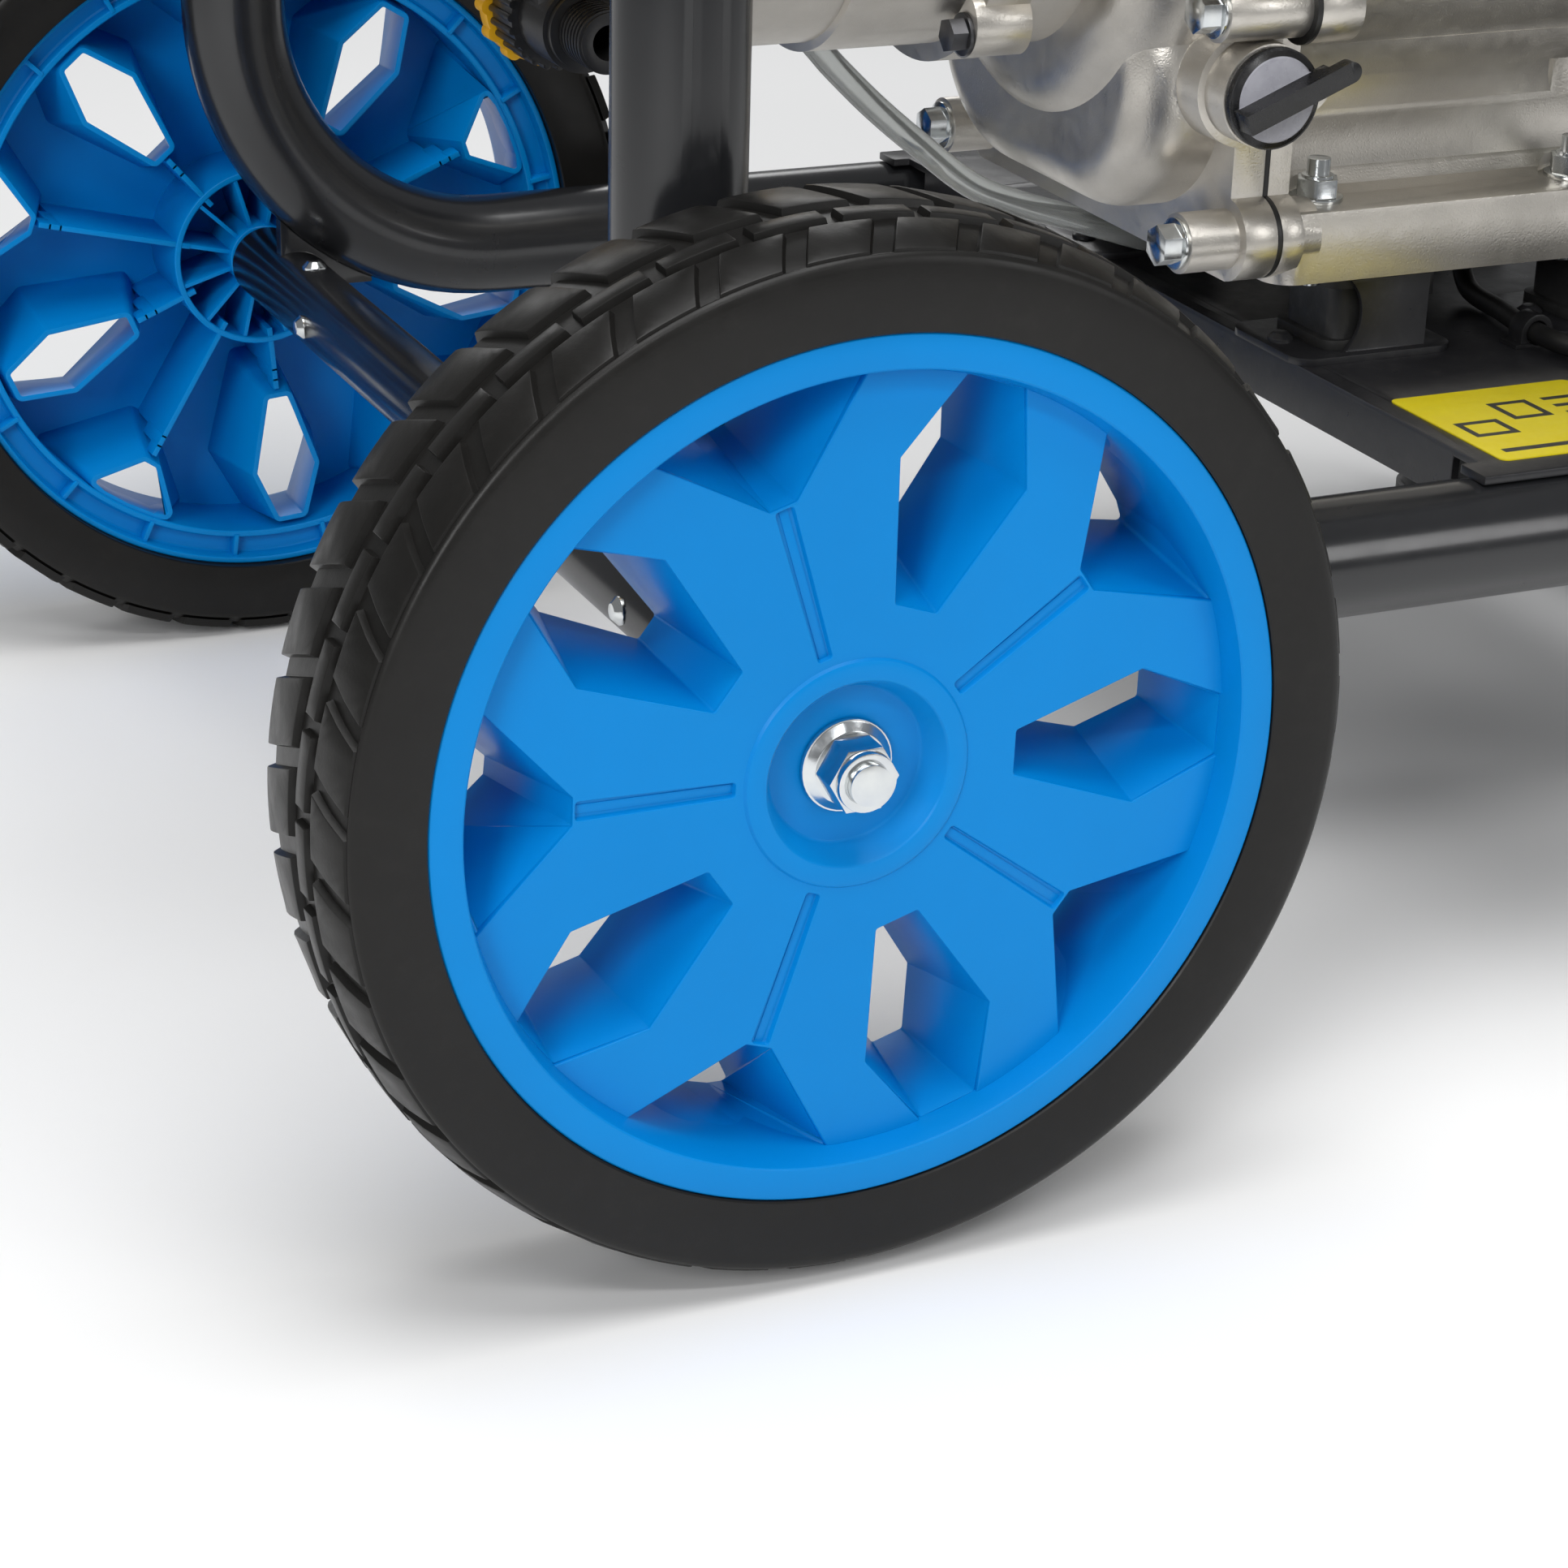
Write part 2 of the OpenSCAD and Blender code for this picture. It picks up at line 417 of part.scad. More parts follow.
module carburettor() color([0.55,0.55,0.54]) up() difference() { union() {
  translate([361.3,-147,268]) cx(13,14);
  bx(361.5,366,-168,-126,250,290);
  bx(374,410,-164,-130,254,296);
  translate([392,-147,226]) cylinder(r=17,h=28);
  translate([392,-147,222]) cylinder(r=6,h=6);
  translate([392,-147,296]) cylinder(r=15,h=26);
  }
  yz(393.8,80.1) hous2d(-0.5);
}
module air_filter() color([0.05,0.05,0.05]) up() union() {
  rbx(345,462,-182,-66,326,340,18);
  rbx(350,457,-177,-71,340,392,20);
  rbx(358,449,-169,-79,392,402,18);
  translate([392,-147,322]) cylinder(r=20,h=5);
}
module air_filter_knob() color([0.1,0.1,0.1]) up() translate([403,-124,402.3]) { cylinder(r=12,h=3); for (a=[0,90]) rotate([0,0,a]) bx(-11,11,-3,3,3,13); translate([0,0,3]) cylinder(r=6,h=8); }
module tank_layer(g,z1,z2) rbx(232+g,464-g,-48+g,150-g,z1,z2,34-g/2);
module fuel_tank() color([0.06,0.06,0.07]) up() difference() {
  union() {
    tank_layer(8,eng_z+133,eng_z+138); tank_layer(2,eng_z+138,eng_z+146); tank_layer(0,eng_z+146,eng_z+190); tank_layer(4,eng_z+190,eng_z+200); tank_layer(12,eng_z+200,eng_z+208); tank_layer(24,eng_z+208,eng_z+213);
    tank_layer(-4,eng_z+164,eng_z+168);
    translate([330,52,eng_z+213]) cylinder(r=30,h=6);
    translate([330,52,eng_z+219]) cylinder(r=23,h=8);
  }
  translate([330,52,eng_z+150]) cylinder(r=19,h=90);
}
module fuel_cap() color([0.03,0.03,0.03]) up() translate([330,52,eng_z+219.4]) difference() {
  union() { cylinder(r=31,h=12); translate([0,0,12]) cylinder(r1=30,r2=25,h=4); for (a=[0:30:330]) rotate([0,0,a]) translate([30,0,0]) cylinder(r=4,h=12,$fn=24); bx(-22,22,-4,4,16,20); }
  translate([0,0,-1]) cylinder(r=23.6,h=9);
}
module muffler() color([0.35,0.34,0.33]) up() union() {
  rbx(212,328,-178,-84,342,408,16);
  rbx(209,331,-181,-81,372,376,16);
  translate([222,-147,262]) cylinder(r=13,h=82);
  translate([222,-147,262]) sphere(r=13,$fn=32);
  translate([222,-147,262]) cx(13,17);
  bx(233,239,-168,-126,242,284);
  translate([228,-160,392]) rotate([90,0,0]) cylinder(r=9,h=30);
}
module muffler_guard() color([0.05,0.05,0.05]) up() difference() {
  rbx(204,336,-196,-74,344,418,18);
  rbx(206,334,-186,-76,340,416,16);
  for (i=[0:8]) translate([217.3+12*i,-200,353]) cube([5.2,60,44]);
  for (i=[0:6]) translate([217.7+15*i,-172,410]) cube([6,80,20]);
  for (i=[0:5]) translate([200,-167+15*i,355]) cube([150,6,40]);
  translate([228,-150,392]) rotate([90,0,0]) cylinder(r=12,h=60);
}
cable = [[357,-31,60.4],[358,-36,48],[354,-50,37.5],[350,-76,37],[346,-100,37],[348,-124,37],[362,-146,37],[384,-150,38],[404,-144,46],[414,-134,66],[416,-125,88],[414,-118,108],[412,-110.3,128.6]];
module throttle_cable() color([0.03,0.03,0.03]) up() sweep(curve(cable,4),3.6);
module cable_clip() color([0.05,0.05,0.05]) up() translate([346,-100,pt]) difference() {
  union() { bx(-9,9,-5,5,0,1.5); rotate([0,0,0]) translate([0,-4,5]) cy(6.4,8); bx(-6.4,6.4,-4,4,0,5); }
  translate([0,-8,5]) cy(4.2,16);
  translate([-10,-10,-5]) cube([20,20,5]);
}
// ---------- pump ----------
module pump_body() color([0.5,0.49,0.47]) up() ec() difference() {
  union() {
    translate([150,0,0]) cx(66,16);
    translate([104,0,0]) cx(60,46);
    translate([62,0,0]) cx(57,44);
    translate([126,0,50]) cylinder(r=14,h=16);
    for (a=[45:90:315]) rotate([a,0,0]) translate([146,0,64]) cx(11,20);
  }
  translate([110,0,0]) cx(30,60);
}
module pump_head() color([0.56,0.5,0.36]) up() ec() difference() {
  union() {
    rbx_x(8,62,-48,48,-26,46,12);
    rbx_x(-18,10,-42,42,-24,40,10);
    translate([22,0,40]) cylinder(r=17,h=18);
    translate([22,0,50]) cylinder(r=6,h=20);
    translate([44,44,-8]) cy(13,18);
  }
}
module pump_caps() color([0.72,0.56,0.28]) up() ec() {
  for (y=[-26,0,26]) { translate([-18,y,14]) rotate([0,-90,0]) { cylinder(r=11,h=2); hex(19,9); } translate([-18,y,-12]) rotate([0,-90,0]) { cylinder(r=10,h=2); hex(17,8); } }
  translate([126,0,66]) { cylinder(r=13,h=4); hex(17,10); }
}
module pump_bolts() color([0.3,0.3,0.31]) up() ec() {
  for (a=[45:90:315]) rotate([a,0,0]) translate([146,0,68]) rotate([0,-90,0]) { cylinder(r=7,h=1.6); hex(10,7); }
  for (p=[[-34,31],[34,31]]) translate([-18,p[0],p[1]]) rotate([0,-90,0]) difference() { cylinder(r=6,h=7); translate([0,0,3]) hex(6,6); }
}
module water_inlet() color([0.04,0.04,0.04]) up() translate([34,-24,140]) difference() {
  union() {
    cy(9.6,20);
    for (i=[0:6]) translate([0,1+2.6*i,0]) cy(10.4,1.3);
    translate([0,19,0]) cy(13,4);
    translate([0,22,0]) cy(14.5,26);
    translate([0,44,0]) cy(17,18);
    for (a=[0:15:345]) rotate([0,a,0]) translate([17,44,0]) rotate([-90,0,0]) cylinder(r=1.3,h=18,$fn=16);
    translate([0,33,0]) cylinder(r=13,h=24);
  }
  translate([0,-1,0]) cy(5.8,40);
}
module inlet_ring() color([0.95,0.68,0.02]) up() translate([34,38.3,140]) difference() {
  union() { cy(19,7); for (a=[0:30:330]) rotate([0,a,0]) translate([18,0,0]) cy(2.6,7); translate([0,7,0]) cy(12,6); }
  translate([0,-1,0]) cy(9,15);
}
module pressure_outlet() color([0.72,0.56,0.28]) up() translate([44,eng_y+62,eng_z-8]) difference() {
  union() { rotate([-90,0,0]) hex(24,10); cy(10.9,28); for (i=[0:5]) translate([0,12+2.6*i,0]) cy(11.6,1.2); translate([0,26,0]) cy(8,6); }
  translate([0,5,0]) cy(5,40);
}
module unloader_knob() color([0.05,0.05,0.05]) up() translate([22,eng_y,eng_z+58.3]) difference() {
  union() { cylinder(r=20,h=22); translate([0,0,22]) cylinder(r1=20,r2=16,h=4); for (a=[0:30:330]) rotate([0,0,a]) translate([19,0,0]) cylinder(r=3,h=22,$fn=24); }
  translate([0,0,-1]) cylinder(r=6.05,h=15);
}
dtube = [[84,56,158],[92,54,150],[108,48,140],[130,40,125],[144,40,111],[160,40,96],[177,40,82],[199,40,65.5],[220,41,56.5],[238,39,51],[254,37,46],[272,33,41],[292,30,38],[320,28,37.3],[346,28,37.3],[368,29,40],[384,30,41]];
module detergent_tube() color([0.82,0.84,0.82]) up() sweep(curve(dtube,3),4.8,12);
module detergent_strainer() color([0.1,0.1,0.1]) up() {
  translate([382,30,pt+9]) difference() { union() { cx(6.8,9); translate([8,0,0]) cx(8.4,30); for (i=[0:4]) translate([11+5.4*i,0,0]) cx(8.9,2.4); } translate([-1,0,0]) cx(5.6,4); }
  translate([336,28,pt]) difference() { union() { bx(-6,6,-12,12,0,1.5); translate([-5,0,5.3]) cx(7.4,10); bx(-5,5,-7.4,7.4,0,5); } translate([-8,0,5.3]) cx(5.1,16); translate([-20,-20,-5]) cube([40,40,5]); }
  difference() {
    translate([78,eng_y+57.5,162]) { translate([4,3,-3]) sphere(r=7,$fn=32); bx(-4,8,-14,6,-4,4); }
    translate([83,56,159]) rotate([0,135,0]) cylinder(r=5.8,h=20);
    ec() translate([60,0,0]) cx(57,46);
  }
}

side_tube_near();
side_tube_far();
cross_tubes();
axle_tube();
axle_bolts();
axle_nuts();
rivets();
rubber_feet();
handle_tube();
handle_grip();
handle_bolts();
base_plate();
warning_label();
mount_brackets();
engine_mounts();
mount_nuts();
throttle_cable();
cable_clip();
rim_near();
tyre_near();
rim_far();
tyre_far();
pump_body();
pump_head();
pump_caps();
pump_bolts();
water_inlet();
inlet_ring();
pressure_outlet();
unloader_knob();
detergent_tube();
detergent_strainer();
crankcase();
side_cover();
cover_gasket();
cover_bolts();
oil_cap();
oil_plug();
drain_bolt();
cylinder_block();
cylinder_head();
rocker_cover();
spark_plug();
spark_lead();
blower_housing();
flywheel();
recoil_cover();
recoil_grip();
engine_switch();
fuel_tank();
fuel_cap();
muffler();
muffler_guard();
air_filter();
air_filter_knob();
carburettor();
control_panel();
choke_lever();
fuel_lever();
throttle_lever();
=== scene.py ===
import json
import math
import bpy
import bmesh
from mathutils import Matrix, Vector


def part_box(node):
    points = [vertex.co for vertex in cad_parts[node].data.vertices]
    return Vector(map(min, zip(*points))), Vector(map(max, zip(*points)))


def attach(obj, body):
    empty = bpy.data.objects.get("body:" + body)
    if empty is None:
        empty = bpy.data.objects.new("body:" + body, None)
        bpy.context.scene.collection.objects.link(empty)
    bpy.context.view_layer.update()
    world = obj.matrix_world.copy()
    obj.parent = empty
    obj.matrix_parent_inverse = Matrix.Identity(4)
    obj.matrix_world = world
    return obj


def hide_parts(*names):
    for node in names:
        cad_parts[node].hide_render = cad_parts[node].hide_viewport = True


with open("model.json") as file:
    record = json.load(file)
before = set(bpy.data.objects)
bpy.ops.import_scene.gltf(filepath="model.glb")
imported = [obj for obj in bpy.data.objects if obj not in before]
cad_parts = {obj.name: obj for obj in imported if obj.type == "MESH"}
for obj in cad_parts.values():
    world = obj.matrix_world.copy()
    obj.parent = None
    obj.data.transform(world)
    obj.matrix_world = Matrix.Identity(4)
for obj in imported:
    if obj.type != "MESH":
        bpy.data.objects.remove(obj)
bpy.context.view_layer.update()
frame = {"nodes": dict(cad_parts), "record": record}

OX, AZ, LIP = 0.19411128574216877, 0.1525, 0.300
rad = math.radians
record = frame["record"]
node_slot = {p["node"]: p["material_slot"] for p in record["subparts"]}
node_body = {n: b for b, ns in record["behaviour"]["bodies"].items() for n in ns}


# ---------------------------------------------------------------- materials
def new_material(name):
    m = bpy.data.materials.new(name)
    m.use_nodes = True
    m.node_tree.nodes.clear()
    return m


class Net:
    def __init__(self, name):
        self.m = new_material(name)
        self.t = self.m.node_tree
        self.out = self.add("ShaderNodeOutputMaterial")
        self.b = self.add("ShaderNodeBsdfPrincipled")
        self.link(self.b.outputs[0], self.out.inputs[0])
        self.co = self.add("ShaderNodeTexCoord").outputs["Object"]

    def add(self, kind, **k):
        n = self.t.nodes.new(kind)
        for a, v in k.items():
            setattr(n, a, v)
        return n

    def link(self, a, b):
        self.t.links.new(a, b)

    def noise(self, scale, detail=3.0, rough=0.55, stretch=None):
        n = self.add("ShaderNodeTexNoise")
        n.inputs["Scale"].default_value = scale
        n.inputs["Detail"].default_value = detail
        n.inputs["Roughness"].default_value = rough
        co = self.co
        if stretch:
            mp = self.add("ShaderNodeMapping")
            mp.inputs["Scale"].default_value = stretch
            self.link(co, mp.inputs["Vector"])
            co = mp.outputs[0]
        self.link(co, n.inputs["Vector"])
        return n.outputs[0]

    def voronoi(self, scale, feature="F1"):
        n = self.add("ShaderNodeTexVoronoi", feature=feature)
        n.inputs["Scale"].default_value = scale
        self.link(self.co, n.inputs["Vector"])
        return n.outputs["Distance"]

    def band(self, value, a, b, lo, hi):
        n = self.add("ShaderNodeMapRange")
        n.inputs["From Min"].default_value = a
        n.inputs["From Max"].default_value = b
        n.inputs["To Min"].default_value = lo
        n.inputs["To Max"].default_value = hi
        self.link(value, n.inputs["Value"])
        return n.outputs["Result"]

    def mix(self, fac, c1, c2):
        n = self.add("ShaderNodeMix", data_type="RGBA")
        self.link(fac, n.inputs[0])
        for socket, c in ((n.inputs[6], c1), (n.inputs[7], c2)):
            if isinstance(c, tuple):
                socket.default_value = (*c, 1)
            else:
                self.link(c, socket)
        return n.outputs[2]

    def math(self, op, a, b=None):
        n = self.add("ShaderNodeMath", operation=op)
        for i, v in enumerate((a, b)):
            if v is None:
                continue
            if isinstance(v, (int, float)):
                n.inputs[i].default_value = v
            else:
                self.link(v, n.inputs[i])
        return n.outputs[0]

    def bump(self, height, strength, distance=0.0005, under=None):
        n = self.add("ShaderNodeBump")
        n.inputs["Strength"].default_value = strength
        n.inputs["Distance"].default_value = distance
        self.link(height, n.inputs["Height"])
        if under is not None:
            self.link(under, n.inputs["Normal"])
        self.link(n.outputs[0], self.b.inputs["Normal"])
        return n.outputs[0]


def finish_of(name, base, rough=0.4, metal=0.0, spread=0.12, grain=900, bump=0.06, depth=0.0003,
              cloud=22, rough_spread=0.08, coat=0.0, dust=0.0, dust_colour=(0.35, 0.33, 0.3), spec=None,
              stretch=None, pits=0.0, pit_scale=400, transmission=0.0, tint=None):
    n = Net(name)
    wide = n.noise(cloud, 4, 0.6)
    dark = tuple(max(0.0, c * (1 - spread)) for c in base)
    light = tuple(min(1.0, c * (1 + spread)) for c in (tint or base))
    colour = n.mix(n.band(wide, 0.3, 0.7, 0, 1), dark, light)
    if dust:
        specks = n.noise(160, 6, 0.7)
        colour = n.mix(n.math("MULTIPLY", n.band(specks, 0.5, 0.78, 0, dust), n.band(wide, 0.35, 0.7, 0.3, 1)), colour, dust_colour)
    n.link(colour, n.b.inputs["Base Color"])
    streak = n.noise(cloud * 4.3, 5, 0.65, stretch)
    n.link(n.band(streak, 0.25, 0.75, max(0.02, rough - rough_spread), rough + rough_spread), n.b.inputs["Roughness"])
    n.b.inputs["Metallic"].default_value = metal
    if coat:
        n.b.inputs["Coat Weight"].default_value = coat
        n.b.inputs["Coat Roughness"].default_value = 0.12
    if spec is not None:
        n.b.inputs["Specular IOR Level"].default_value = spec
    if transmission:
        n.b.inputs["Transmission Weight"].default_value = transmission
        n.b.inputs["IOR"].default_value = 1.35
    fine = n.noise(grain, 2, 0.5, stretch)
    first = n.bump(fine, bump, depth)
    if pits:
        v = n.voronoi(pit_scale)
        n.bump(n.band(v, 0.0, 0.35, 0.0, 1.0), pits, 0.0003, under=first)
    return n.m


mats = {
    "frame_paint": finish_of("frame_paint_gloss", (0.013, 0.0135, 0.015), 0.24, 0.0, 0.10, 700, 0.04, 0.0002, 14, 0.05, coat=0.25, spec=0.5, dust=0.01),
    "zinc_steel": finish_of("zinc_bright", (0.66, 0.69, 0.72), 0.17, 1.0, 0.08, 1500, 0.05, 0.0002, 90, 0.06, tint=(0.68, 0.70, 0.69)),
    "black_rubber": finish_of("rubber_black", (0.016, 0.016, 0.016), 0.52, 0.0, 0.2, 900, 0.10, 0.0003, 40, 0.10, dust=0.08),
    "black_plastic": finish_of("plastic_black", (0.013, 0.013, 0.014), 0.34, 0.0, 0.2, 1400, 0.12, 0.0002, 40, 0.08),
    "black_paint": finish_of("paint_black", (0.016, 0.016, 0.018), 0.33, 0.0, 0.15, 800, 0.07, 0.0003, 24, 0.08, dust=0.05),
    "cable_black": finish_of("cable_black_skin", (0.010, 0.010, 0.010), 0.42, 0.0, 0.15, 1600, 0.08, 0.0002, 60, 0.06),
    "wheel_blue": finish_of("plastic_blue", (0.0, 0.218, 0.60), 0.34, 0.0, 0.03, 1100, 0.05, 0.0002, 9, 0.04, spec=0.16, tint=(0.0, 0.226, 0.62)),
    "tyre_rubber": finish_of("tyre_compound", (0.0085, 0.0080, 0.0073), 0.37, 0.0, 0.16, 1000, 0.10, 0.0003, 16, 0.08, dust=0.012, spec=0.26),
    "cast_aluminium": finish_of("aluminium_cast", (0.62, 0.59, 0.54), 0.34, 0.88, 0.09, 1300, 0.20, 0.0003, 30, 0.07, pits=0.14, pit_scale=900),
    "brass": finish_of("brass_machined", (0.55, 0.38, 0.16), 0.28, 1.0, 0.10, 1200, 0.08, 0.0002, 50, 0.08),
    "dark_steel": finish_of("steel_black_oxide", (0.09, 0.09, 0.095), 0.36, 0.9, 0.15, 1200, 0.1, 0.0002, 60, 0.08),
    "collar_yellow": finish_of("plastic_yellow", (0.72, 0.38, 0.004), 0.38, 0.0, 0.06, 1200, 0.06, 0.0002, 30, 0.05),
    "clear_tube": finish_of("vinyl_clear", (0.66, 0.68, 0.66), 0.16, 0.0, 0.06, 600, 0.05, 0.0003, 25, 0.05, transmission=0.72, spec=0.6),
    "grey_plastic": finish_of("plastic_grey", (0.13, 0.135, 0.14), 0.34, 0.0, 0.08, 1400, 0.08, 0.0002, 60, 0.05, coat=0.1),
    "ceramic": finish_of("ceramic_glazed", (0.78, 0.77, 0.72), 0.15, 0.0, 0.04, 900, 0.03, 0.0002, 40, 0.04, coat=0.4),
    "housing_paint": finish_of("housing_olive", (0.105, 0.112, 0.082), 0.36, 0.15, 0.10, 900, 0.10, 0.0003, 20, 0.06),
    "cast_iron": finish_of("iron_cast", (0.10, 0.10, 0.10), 0.55, 0.7, 0.15, 700, 0.25, 0.0005, 40, 0.1, pits=0.2),
    "red_plastic": finish_of("plastic_red", (0.50, 0.012, 0.010), 0.28, 0.0, 0.08, 1200, 0.05, 0.0002, 40, 0.05, coat=0.2),
    "tank_black": finish_of("tank_gloss_black", (0.012, 0.012, 0.013), 0.22, 0.0, 0.15, 500, 0.06, 0.0003, 12, 0.05, coat=0.4),
    "muffler_steel": finish_of("steel_heat_dulled", (0.27, 0.245, 0.215), 0.48, 0.9, 0.2, 800, 0.15, 0.0003, 24, 0.12, tint=(0.33, 0.26, 0.2)),
}


def label_material():
    """Yellow film with plain dark bars, rows and a hazard-like frame drawn from the object coordinates. There is no lettering."""
    n = Net("label_film")
    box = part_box("warning_label")
    (x0, y0, _), (x1, y1, _) = box[0], box[1]
    sep = n.add("ShaderNodeSeparateXYZ")
    n.link(n.co, sep.inputs[0])
    u = n.band(sep.outputs[0], x0, x1, 0, 1)
    v = n.band(sep.outputs[1], y0, y1, 0, 1)

    def inside(a, b, c, d):
        parts = [n.math("GREATER_THAN", u, a), n.math("LESS_THAN", u, b), n.math("GREATER_THAN", v, c), n.math("LESS_THAN", v, d)]
        m = parts[0]
        for p in parts[1:]:
            m = n.math("MULTIPLY", m, p)
        return m

    marks = None
    rows = n.math("GREATER_THAN", n.math("FRACT", n.math("MULTIPLY", v, 9.0)), 0.62)
    for a, b, c, d, striped in ((0.08, 0.32, 0.34, 0.56, False), (0.40, 0.62, 0.52, 0.78, False), (0.70, 0.93, 0.30, 0.84, True), (0.08, 0.58, 0.10, 0.15, False)):
        m = inside(a, b, c, d)
        if striped:
            m = n.math("MULTIPLY", m, rows)
        else:
            inner = inside(a + 0.035, b - 0.035, c + 0.04, d - 0.04)
            m = n.math("SUBTRACT", m, inner)
        marks = m if marks is None else n.math("MAXIMUM", marks, m)
    worn = n.band(n.noise(60, 5, 0.7), 0.35, 0.7, 0, 1)
    yellow = n.mix(worn, (0.76, 0.62, 0.004), (0.80, 0.67, 0.008))
    n.link(n.mix(marks, yellow, (0.02, 0.02, 0.02)), n.b.inputs["Base Color"])
    n.link(n.band(n.noise(200, 3, 0.6), 0.3, 0.7, 0.28, 0.42), n.b.inputs["Roughness"])
    n.bump(n.noise(700, 2, 0.5), 0.05, 0.0002)
    return n.m


mats["label_yellow"] = label_material()


def cap_material():
    """Light grey disc with a black rim and a black grip bar, told apart by the distance from the cap's axis and by depth."""
    n = Net("cap_two_tone")
    sep = n.add("ShaderNodeSeparateXYZ")
    n.link(n.co, sep.inputs[0])
    dx = n.math("SUBTRACT", sep.outputs[0], 0.227 - OX)
    dz = n.math("SUBTRACT", sep.outputs[2], 0.1285 + AZ)
    radius = n.math("SQRT", n.math("ADD", n.math("MULTIPLY", dx, dx), n.math("MULTIPLY", dz, dz)))
    dark = n.math("MAXIMUM", n.math("GREATER_THAN", radius, 0.0142), n.math("LESS_THAN", sep.outputs[1], -0.11530))
    dark = n.math("MAXIMUM", dark, n.math("GREATER_THAN", sep.outputs[1], -0.1148))
    grey = n.mix(n.band(n.noise(120, 4, 0.6), 0.3, 0.7, 0, 1), (0.30, 0.30, 0.34), (0.38, 0.38, 0.42))
    n.link(n.mix(dark, grey, (0.012, 0.012, 0.013)), n.b.inputs["Base Color"])
    n.link(n.band(n.noise(180, 4, 0.6), 0.3, 0.7, 0.20, 0.34), n.b.inputs["Roughness"])
    n.bump(n.noise(1300, 2, 0.5), 0.06, 0.0002)
    return n.m


mats["cap"] = cap_material()


# ---------------------------------------------------------------- edges of the CAD nodes
def soften(o, width=0.0006, segments=2, angle=30, weld=True):
    me = o.data
    if me.attributes.get("custom_normal"):
        me.attributes.remove(me.attributes["custom_normal"])
    for p in me.polygons:
        p.use_smooth = True
    if weld:
        w = o.modifiers.new("weld", "WELD")
        w.merge_threshold = 1e-5
    b = o.modifiers.new("bevel", "BEVEL")
    b.width = width
    b.segments = segments
    b.limit_method = "ANGLE"
    b.angle_limit = rad(angle)
    b.use_clamp_overlap = True
    b.harden_normals = False
    s = o.modifiers.new("split", "EDGE_SPLIT")
    s.split_angle = rad(35)
    s.use_edge_sharp = False
    return o


thin = {"warning_label": 0.0, "rivets": 0.0003, "cover_gasket": 0.0002, "throttle_cable": 0.0, "detergent_tube": 0.0, "spark_lead": 0.0,
        "cylinder_block": 0.0005, "crankcase": 0.0012, "side_cover": 0.0014, "mount_brackets": 0.0005, "axle_nuts": 0.0006,
        "axle_bolts": 0.0010, "oil_cap": 0.0008, "oil_plug": 0.0008, "water_inlet": 0.0004, "pump_body": 0.0012, "fuel_tank": 0.002,
        "base_plate": 0.0008, "flywheel": 0.0, "muffler_guard": 0.0004, "recoil_cover": 0.0006}
for name, o in frame["nodes"].items():
    if name in ("rim_near", "rim_far", "tyre_near", "tyre_far"):
        continue
    o.data.materials.clear()
    o.data.materials.append(mats["cap"] if name == "oil_cap" else mats[node_slot[name]])
    w = thin.get(name, 0.0006)
    if w:
        soften(o, w)
    else:
        me = o.data
        if me.attributes.get("custom_normal"):
            me.attributes.remove(me.attributes["custom_normal"])
        for p in me.polygons:
            p.use_smooth = True
        wd = o.modifiers.new("weld", "WELD")
        wd.merge_threshold = 1e-5
        s = o.modifiers.new("split", "EDGE_SPLIT")
        s.split_angle = rad(40)
        s.use_edge_sharp = False


# ---------------------------------------------------------------- wheels: geometry in millimetres, local (x, y, depth from the outer lip)
def place(p, far):
    """Local millimetres to the frame: the near wheel faces -Y and the far wheel +Y."""
    x, y, z = p
    Y = (LIP * 1000 - z) if far else (z - LIP * 1000)
    return Vector((x / 1000 - OX, Y / 1000, y / 1000 + AZ))


def rot(pt, deg):
    c, s = math.cos(rad(deg)), math.sin(rad(deg))
    return (pt[0] * c - pt[1] * s, pt[0] * s + pt[1] * c)


def fillet(pts, r, steps=4):
    """A closed outline with its corners rounded. r is a number or one per corner."""
    out = []
    n = len(pts)
    for i in range(n):
        a, b, c = Vector(pts[i - 1]), Vector(pts[i]), Vector(pts[(i + 1) % n])
        ri = r[i] if isinstance(r, (list, tuple)) else r
        u, v = (a - b), (c - b)
        lu, lv = u.length, v.length
        if ri <= 0 or lu < 1e-6 or lv < 1e-6:
            out.append(tuple(b))
            continue
        u.normalize(); v.normalize()
        half = math.acos(max(-1, min(1, u.dot(v)))) / 2
        if half > rad(87):
            out.append(tuple(b))
            continue
        d = min(ri / math.tan(half), 0.45 * lu, 0.45 * lv)
        rr = d * math.tan(half)
        centre = b + (u + v).normalized() * (rr / math.sin(half))
        p, q = b + u * d, b + v * d
        a0 = math.atan2(p.y - centre.y, p.x - centre.x)
        a1 = math.atan2(q.y - centre.y, q.x - centre.x)
        da = (a1 - a0 + math.pi) % (2 * math.pi) - math.pi
        for k in range(steps + 1):
            t = a0 + da * k / steps
            out.append((centre.x + rr * math.cos(t), centre.y + rr * math.sin(t)))
    return out


def offset(pts, d):
    """Moves a closed outline sideways by d (positive is to the right of travel)."""
    out = []
    n = len(pts)
    for i in range(n):
        a, b, c = Vector(pts[i - 1]), Vector(pts[i]), Vector(pts[(i + 1) % n])
        e1, e2 = (b - a), (c - b)
        if e1.length < 1e-9 or e2.length < 1e-9:
            out.append(tuple(b)); continue
        e1.normalize(); e2.normalize()
        n1, n2 = Vector((e1.y, -e1.x)), Vector((e2.y, -e2.x))
        m = n1 + n2
        if m.length < 1e-6:
            m = n1
        m.normalize()
        k = d / max(0.35, m.dot(n1))
        out.append((b.x + m.x * k, b.y + m.y * k))
    return out


